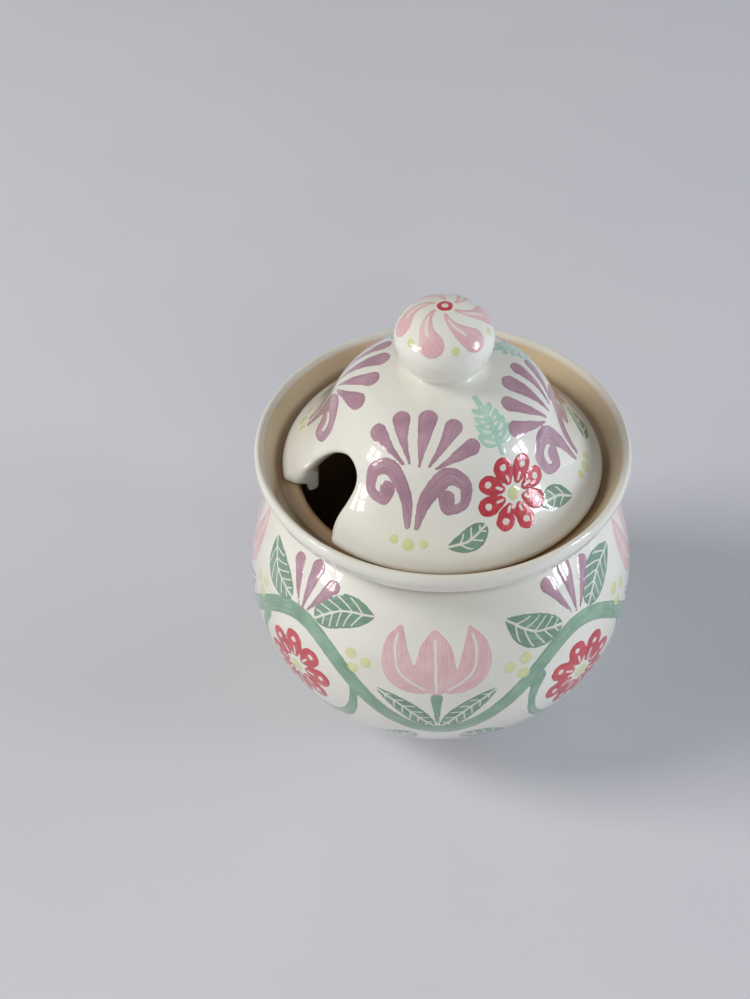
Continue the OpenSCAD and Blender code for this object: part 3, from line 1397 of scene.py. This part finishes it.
    def depth(self, points: np.ndarray) -> tuple[np.ndarray, np.ndarray]:
        """How far points lie outside the lid, with the notch's edges eased.

        Args:
            points: points in space, in millimetres.

        Returns:
            Distances, negative inside, and the directions in which they grow.
        """
        radius = np.maximum(np.hypot(points[:, 0], points[:, 1]), TINY)[:, None]
        cut, away = self.from_notch(points)
        depth, way = np.full(len(points), -FAR), np.zeros_like(points)
        for path, ease in ((self.face(), self.lip(points)), (self.lining(), self.inner_ease)):
            wall, lean = self.from_outline(np.column_stack((radius, points[:, 2])), path)
            out = np.column_stack((lean[:, :1] * points[:, :2] / radius, lean[:, 1]))
            near = np.clip(1 - np.abs(wall - cut) / ease, 0, 1)
            share = np.where(wall > cut, 1 - near / 2, near / 2)[:, None]
            eased = np.maximum(wall, cut) + near**2 * ease / 4
            more = eased > depth
            depth = np.where(more, eased, depth)
            way = np.where(more[:, None], share * out + (1 - share) * away, way)
        return depth, way / np.maximum(np.linalg.norm(way, axis=1), TINY)[:, None]

    @staticmethod
    def from_outline(flat: np.ndarray, outline: np.ndarray) -> tuple[np.ndarray, np.ndarray]:
        """Distances from the profile.

        Args:
            flat: (radius, height) points.
            outline: the profile.

        Returns:
            Distances, negative inside, and the profile's outward directions.
        """
        run = np.gradient(outline, axis=0)
        turned = np.column_stack((-run[:, 1], run[:, 0])) / np.linalg.norm(run, axis=1)[:, None]
        tree = KDTree(len(outline))
        for i, (radius, height) in enumerate(outline):
            tree.insert((radius, height, 0.0), i)
        tree.balance()
        near = np.array([tree.find((radius, height, 0.0))[1] for radius, height in flat])
        best, lean = np.full(len(flat), FAR), np.zeros((len(flat), 2))
        for first in (np.maximum(near - 1, 0), np.minimum(near, len(outline) - 2)):
            side = outline[first + 1] - outline[first]
            gap = flat - outline[first]
            share = np.clip((gap * side).sum(axis=1) / (side**2).sum(axis=1), 0, 1)[:, None]
            gap = gap - share * side
            way = (1 - share) * turned[first] + share * turned[first + 1]
            way /= np.linalg.norm(way, axis=1)[:, None]
            distance = np.linalg.norm(gap, axis=1) * np.where((gap * way).sum(axis=1) < 0, -1, 1)
            closer = np.abs(distance) < np.abs(best)
            best, lean = np.where(closer, distance, best), np.where(closer[:, None], way, lean)
        return best, lean

    def from_notch(self, points: np.ndarray) -> tuple[np.ndarray, np.ndarray]:
        """How far points lie inside the spoon notch.

        Args:
            points: points in space.

        Returns:
            Distances, positive inside the notch, and the directions towards its middle.
        """
        x, y, z = points.T
        beside, far = y - self.apex_y, y > self.apex_y
        reach, start, power = (
            np.where(far, *pair)
            for pair in (
                (self.far.reach, self.near.reach),
                (self.far.start_z, self.near.start_z),
                (self.far.power, self.near.power),
            )
        )
        half, rise = reach - np.where(far, self.apex_y, -self.apex_y), self.apex_z - start
        across, over = np.abs(beside) / half, np.maximum(z - start, 0) / rise
        size = np.maximum((across**power + over**power) ** (1 / power), TINY)
        aside_slope = (across / size) ** (power - 1) / half * np.sign(beside)
        up_slope = (over / size) ** (power - 1) / rise
        steep = np.maximum(np.hypot(aside_slope, up_slope), self.least_slope)
        cut = np.where(x < -self.notch_start, (1 - size) / steep, -FAR)
        way = -np.column_stack((np.zeros_like(x), aside_slope, up_slope)) / steep[:, None]
        drawn_in = half * (1 - np.maximum(1 - over**power, 0) ** (1 / power))
        aside = reach - drawn_in + self.notch_corner
        middle = -np.sqrt((self.radius - self.notch_corner) ** 2 - aside**2)
        dx, dy = x - middle, np.abs(y) - aside
        angle, last = np.degrees(np.arctan2(-dx, -dy)), np.degrees(np.arctan2(-middle, -aside))
        fade = np.clip((angle - last / 2) / (last / 2), 0, 1)
        gap = np.maximum(np.hypot(dx, dy), TINY)
        corner = (angle >= 0) & (angle <= last) & (z < self.lip_z)
        eased_off = self.corner_ease * self.lip(points) * fade**2 * (3 - 2 * fade)
        cut = np.where(corner, gap - self.notch_corner - eased_off, cut)
        round_way = np.column_stack((dx / gap, np.sign(y) * dy / gap, np.zeros_like(x)))
        return cut, np.where(corner[:, None], round_way, way)

    def build(self) -> bpy.types.Object:
        """Turns the lid, cuts its notch and eases the notch's edges.

        Returns:
            The lid's object.
        """
        outline = np.vstack((self.bell(), self.edge()[1:], self.lining()[1:]))
        lid = Mesher.turned("lid_bell", Curve.even(outline, self.grain), self.steps)
        self.cut_notch(lid)
        for _ in range(self.rounds):
            self.settle(lid.data)
        lid.data.shade_smooth()
        Mesher.mark_edges(lid.data)
        points = Mesher.points(lid.data)
        flat = np.column_stack((np.hypot(points[:, 0], points[:, 1]), points[:, 2]))
        above = np.abs(self.from_outline(flat, self.hollow())[0])
        # The lid's underside near its hollow gets the tan and painted shade of the inside.
        Mesher.mark(lid.data, "inner", np.clip(1 - above / (self.wall / 2), 0, 1))
        return lid

    def cut_notch(self, lid: bpy.types.Object) -> None:
        """Cuts the notch out of the turned lid and gives the rest a mesh of even small faces.

        Args:
            lid: the lid's object.
        """
        bm = bmesh.new()
        start = -self.notch_start * MM
        face = bm.faces.new([bm.verts.new((start, y * MM, z * MM)) for y, z in self.arch()])
        grown = bmesh.ops.extrude_face_region(bm, geom=[face])["geom"]
        ends = [item for item in grown if isinstance(item, bmesh.types.BMVert)]
        bmesh.ops.translate(bm, verts=ends, vec=(-self.radius * MM, 0, 0))
        bmesh.ops.holes_fill(bm, edges=bm.edges)
        bmesh.ops.recalc_face_normals(bm, faces=bm.faces)
        cutter = Mesher.shown("notch_cutter", bm)
        gap = lid.modifiers.new("gap", "BOOLEAN")
        gap.operation, gap.solver, gap.object = "DIFFERENCE", "EXACT", cutter
        evened = lid.modifiers.new("evened", "REMESH")
        evened.mode, evened.voxel_size, evened.adaptivity = "VOXEL", self.grain * MM, 0.0
        shape = bpy.data.meshes.new_from_object(lid.evaluated_get(bpy.context.evaluated_depsgraph_get()))
        lid.modifiers.clear()
        lid.data = shape
        bpy.data.objects.remove(cutter)

    def settle(self, shape: bpy.types.Mesh) -> None:
        """Smooths the mesh and sets its vertices on the eased surface.

        Args:
            shape: the lid's mesh.
        """
        bm = bmesh.new()
        bm.from_mesh(shape)
        bmesh.ops.smooth_vert(
            bm, verts=bm.verts, factor=self.smoothing, use_axis_x=True, use_axis_y=True, use_axis_z=True
        )
        bm.to_mesh(shape)
        bm.free()
        for _ in range(self.passes):
            points = Mesher.points(shape)
            depth, way = self.depth(points)
            move = np.clip(depth, -self.longest_move, self.longest_move)
            Mesher.move(shape, points - move[:, None] * way)

    def decorate(self, lid: bpy.types.Object) -> None:
        """Paints palmettes, rosettes and fronds in turn round the bell.

        Args:
            lid: the lid's object.
        """
        painter = Painter(lid.data, Chart(Curve.even(self.bell(), CHART_STEP), up=-1), seed=23)
        pitch = 360 / self.repeats
        for i in range(self.repeats):
            middle = 180 + pitch * (i + 0.5)
            painter.motif(Motifs.palmette(1.36), Spot(middle, 31.5))
            painter.motif(Motifs.garland(3.8, 1.5), Spot(middle, 50.6))
            if i < self.repeats - 1:
                between = middle + pitch / 2
                painter.motif(Motifs.rosette(9.2), Spot(between, 40.8, 10))
                painter.motif(Motifs.frond(15.5, 4), Spot(between, 30.0))
                for side in (-1, 1):
                    spot = Spot(between + side * 13, 46.8, 90 - side * 112)
                    painter.motif(Motifs.leaf(11.0, 3.0, 1.0), spot)
        painter.finish(PAINT_RELIEF)

    def dress(self, lid: bpy.types.Object, glaze: bpy.types.Material) -> None:
        """Glazes the lid and sets it in its place in the frame.

        Args:
            lid: the lid's object.
            glaze: its material.
        """
        lid.data.materials.clear()
        lid.data.materials.append(glaze)
        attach(lid, "lid")
        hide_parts("lid")


@dataclass
class Knob:
    """The ball knob with its soft foot on the crown. Sizes in millimetres."""

    radius: float = 12.6
    over: float = 9.6
    under: float = 11.0
    level: float = 123.8
    waist: float = 41.0
    foot_r: float = 13.2
    foot_z: float = 114.03
    foot_slope: float = 9.0
    foot_pull: float = 1.6
    base_inset: float = 1.0
    base_drop: float = 0.5
    petals: int = 6
    relief: float = 0.06
    steps: int = 320
    skin_step: float = 0.4
    chart_step: float = 0.2

    def outside(self) -> np.ndarray:
        """The ball and its foot.

        Returns:
            Points from the top of the ball down to the foot's edge.
        """
        end = np.array((self.radius, -self.under)) * Curve.heading(self.waist) + (0, self.level)
        fall = np.array((-self.radius, -self.under)) * Curve.heading(self.waist)[::-1]
        foot = np.array((self.foot_r, self.foot_z))
        ease = (end[1] - self.foot_z) / 2
        leave = end + ease * fall / np.linalg.norm(fall)
        arrive = foot + self.foot_pull * ease * Curve.heading(180 - self.foot_slope)
        parts = (
            Curve.bow(self.level, self.radius, self.over, 90, 0),
            Curve.bow(self.level, self.radius, self.under, 0, -self.waist)[1:],
            Curve.blend(end, leave, arrive, foot)[1:],
        )
        path = np.vstack(parts)
        path[0][0] = 0.0
        return path

    def build(self) -> bpy.types.Object:
        """Turns the knob.

        Returns:
            The knob's object.
        """
        base_z = self.foot_z - self.base_drop
        base = np.array(((self.foot_r - self.base_inset, base_z), (0.0, base_z)))
        outline = np.vstack((Curve.even(self.outside(), self.skin_step), base))
        knob = Mesher.turned("knob_ball", outline, self.steps)
        Mesher.mark_edges(knob.data)
        return knob

    def decorate(self, knob: bpy.types.Object) -> None:
        """Paints a whirl of pink commas round the top, with yellow dots between them.

        Args:
            knob: the knob's object.
        """
        painter = Painter(knob.data, Chart(Curve.even(self.outside(), self.chart_step), up=-1), seed=5)
        share = np.linspace(0, 1, 60)
        for i in range(self.petals):
            start = FULL_TURN * i / self.petals
            painter.lay(Paint.BLOOM, start + 0.7 * share, 3.2 + 8.6 * share, 3.1, Tip.COMMA)
            painter.lay(Paint.SPARK, start + 0.19 + 0.01 * share, 13.0 + 0.02 * share, 0.95, Tip.EVEN)
        painter.lay(Paint.BERRY, np.array((0.0, 0.1)), np.array((0.02, 0.03)), 1.9, Tip.EVEN)
        painter.finish(self.relief)

    def dress(self, knob: bpy.types.Object, glaze: bpy.types.Material) -> None:
        """Glazes the knob and sets it in its place in the frame.

        Args:
            knob: the knob's object.
            glaze: its material.
        """
        knob.data.materials.append(glaze)
        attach(knob, "lid")
        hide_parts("knob")


@dataclass(frozen=True)
class Window:
    """A soft light of four panes, which glazed pottery mirrors. Sizes in metres."""

    name: str
    place: Triple
    width: float
    height: float
    power: float
    tint: Triple
    bar: float = 0.05
    mirrored: bool = True
    aim: Triple = (0.0, 0.0, 0.09)

    def hang(self) -> None:
        """Adds the panes to the scene."""
        look = (Vector(self.aim) - Vector(self.place)).to_track_quat("-Z", "Y").to_matrix()
        pane_w, pane_h = (self.width - self.bar) / 2, (self.height - self.bar) / 2
        for column in (-1, 1):
            for row in (-1, 1):
                lamp = bpy.data.lights.new(self.name, "AREA")
                lamp.shape = "RECTANGLE"
                lamp.size, lamp.size_y = pane_w, pane_h
                lamp.energy, lamp.color = self.power / 4, self.tint
                pane = bpy.data.objects.new(self.name, lamp)
                shift = Vector((column * (pane_w + self.bar) / 2, row * (pane_h + self.bar) / 2, 0.0))
                pane.matrix_world = Matrix.Translation(Vector(self.place) + look @ shift) @ look.to_4x4()
                pane.visible_glossy = self.mirrored
                bpy.context.scene.collection.objects.link(pane)


@dataclass
class Studio:
    """The pale floor, the soft light and the camera."""

    camera_place: Triple = (-0.14918, -0.22797, 0.33815)
    camera_way: Triple = (0.34755, 0.61775, -0.70538)
    camera_roll: float = -0.027
    lens: float = 50.0
    sensor: float = 36.0
    floor_size: float = 3.0
    floor_colour: Colour = srgb(208, 208, 214)
    floor_cloud: Colour = srgb(198, 199, 207)
    floor_roughness: float = 0.7
    sky_colour: Colour = (0.98, 0.98, 1.0, 1.0)
    sky_strength: float = 0.28
    windows: tuple[Window, ...] = (
        Window("window_left", (-1.55, 0.25, 0.42), 0.30, 0.46, 4.5, (1.0, 0.95, 0.88)),
        Window("window_right", (1.10, -1.12, 0.40), 0.32, 0.48, 8.0, (0.84, 0.91, 1.0)),
        Window("fill", (1.52, -0.42, 0.24), 1.00, 0.36, 12.0, (0.82, 0.89, 1.0), 0.0, False),
        Window("front", (-0.42, -1.15, 0.80), 0.60, 0.60, 2.9, (0.95, 0.98, 1.0), 0.0, False),
        Window("key", (-1.10, 0.56, 1.10), 0.60, 0.60, 15.0, (1.0, 0.985, 0.95), 0.0, False),
    )

    def build(self) -> None:
        """Makes the floor, the light and the camera."""
        self.lay_floor()
        self.hang_light()
        self.set_camera()
        bpy.context.scene.view_settings.view_transform = "Standard"

    def lay_floor(self) -> None:
        """Lays a plain pale floor with faint clouds."""
        bm = bmesh.new()
        bmesh.ops.create_grid(bm, x_segments=1, y_segments=1, size=self.floor_size)
        floor = Mesher.shown("floor", bm)
        material = bpy.data.materials.new("floor_paper")
        board = NodeBoard(material)
        share = board.ramp(board.noise(9.0, 3.0), 0.3, 0.7, 0.0, 0.25)
        colour = board.mix(share, self.floor_colour, self.floor_cloud)
        shader = board.add("ShaderNodeBsdfPrincipled")
        board.feed(shader, {"Base Color": colour, "Roughness": self.floor_roughness})
        board.finish("ShaderNodeOutputMaterial", shader)
        floor.data.materials.append(material)

    def hang_light(self) -> None:
        """Adds the windows and an even sky."""
        for window in self.windows:
            window.hang()
        world = bpy.data.worlds.new("soft_sky")
        bpy.context.scene.world = world
        board = NodeBoard(world)
        sky = board.add("ShaderNodeBackground")
        board.feed(sky, {"Color": self.sky_colour, "Strength": self.sky_strength})
        board.finish("ShaderNodeOutputWorld", sky)

    def set_camera(self) -> None:
        """Sets the camera at the photograph's viewing angle."""
        way = Vector(self.camera_way).normalized()
        right = way.cross(Vector((0, 0, 1))).normalized()
        up = right.cross(way)
        turn = Matrix((right, up, -way)).transposed() @ Matrix.Rotation(self.camera_roll, 3, "Z")
        data = bpy.data.cameras.new("camera")
        data.lens, data.sensor_width = self.lens, self.sensor
        camera = bpy.data.objects.new("camera", data)
        camera.matrix_world = Matrix.Translation(self.camera_place) @ turn.to_4x4()
        bpy.context.scene.collection.objects.link(camera)
        bpy.context.scene.camera = camera


def main() -> None:
    """Builds the studio and the pieces, paints and glazes them, and logs their point and face counts."""
    Studio().build()
    glaze = Glaze("painted_glaze").make()
    for maker in (Pot(), Lid(), Knob()):
        piece = maker.build()
        maker.decorate(piece)
        maker.dress(piece, glaze)
        log.info("%s: %d points, %d faces", piece.name, len(piece.data.vertices), len(piece.data.polygons))


if __name__ == "__main__":
    main()
